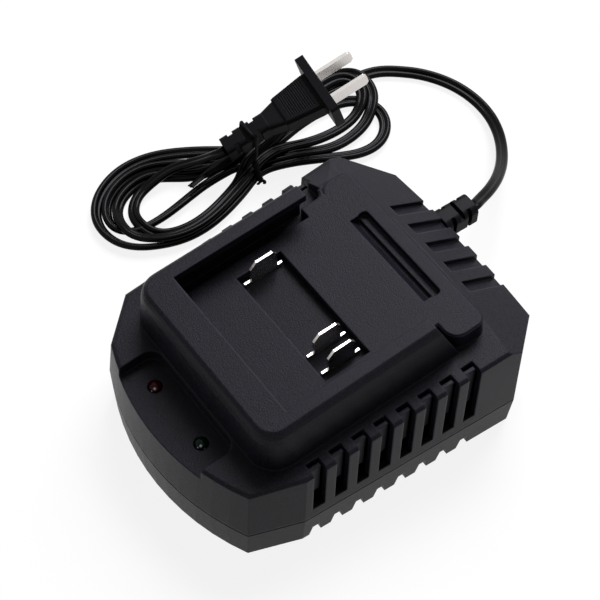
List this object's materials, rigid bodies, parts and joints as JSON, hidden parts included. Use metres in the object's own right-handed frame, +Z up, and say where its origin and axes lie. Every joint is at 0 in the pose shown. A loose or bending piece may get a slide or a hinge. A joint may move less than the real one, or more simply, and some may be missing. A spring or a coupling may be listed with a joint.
{
  "type": "power tool battery charger",
  "caption": "Mains charger with a railed dock for a slide-in tool battery, blade contacts, two status lights, side cooling slots and a folded mains lead with plug.",
  "frame": {"origin": "centre of the case's base, on the table", "axes": "+Z up, -Y towards the bowed front with the status lights, +X towards the side on the right when seen from the front"},
  "size_m": [0.177, 0.215, 0.068],
  "materials": {
    "housing": "fine matte moulded texture",
    "holder": "smooth matte",
    "contact": "bright nickel plating",
    "led_red": "tinted epoxy, unlit",
    "led_green": "tinted epoxy, unlit",
    "tinned_wire": "tinned",
    "board": "solder mask",
    "ferrite": "sintered",
    "winding": "taped winding",
    "capacitor": "plain sleeve",
    "film_capacitor": "moulded box",
    "ceramic": "smooth",
    "component": "moulded epoxy",
    "heatsink": "plain",
    "wire_red": "insulated wire",
    "cord": "semi-gloss PVC",
    "tie": "plastic-covered wire",
    "relief": "matte moulded",
    "plug": "matte moulded PVC",
    "screw": "zinc plated"
  },
  "bodies": {
    "root": {"upper_cover": "housing", "lower_case": "housing", "terminal_holder": "holder", "terminal_positive": "contact", "terminal_negative": "contact", "terminal_sense": "contact", "led_red": "led_red", "led_green": "led_green", "light_leads": "tinned_wire", "circuit_board": "board", "transformer_core": "ferrite", "transformer_winding": "winding", "mains_capacitor": "capacitor", "output_capacitors": "capacitor", "suppression_capacitor": "film_capacitor", "choke": "winding", "fuse": "ceramic", "bridge_rectifier": "component", "heatsink_primary": "heatsink", "heatsink_secondary": "heatsink", "power_transistor": "component", "output_rectifier": "component", "controller_chip": "component", "optocoupler": "ceramic", "output_leads": "wire_red", "mains_leads": "cord", "cord_clamp": "holder", "case_screws": "screw", "board_screws": "screw", "holder_screws": "screw", "clamp_screws": "screw", "strain_relief": "relief", "power_cord": "cord", "cord_hank": "cord", "cord_tie": "tie", "plug_body": "plug", "plug_pins": "contact"}
  },
  "joints": []
}
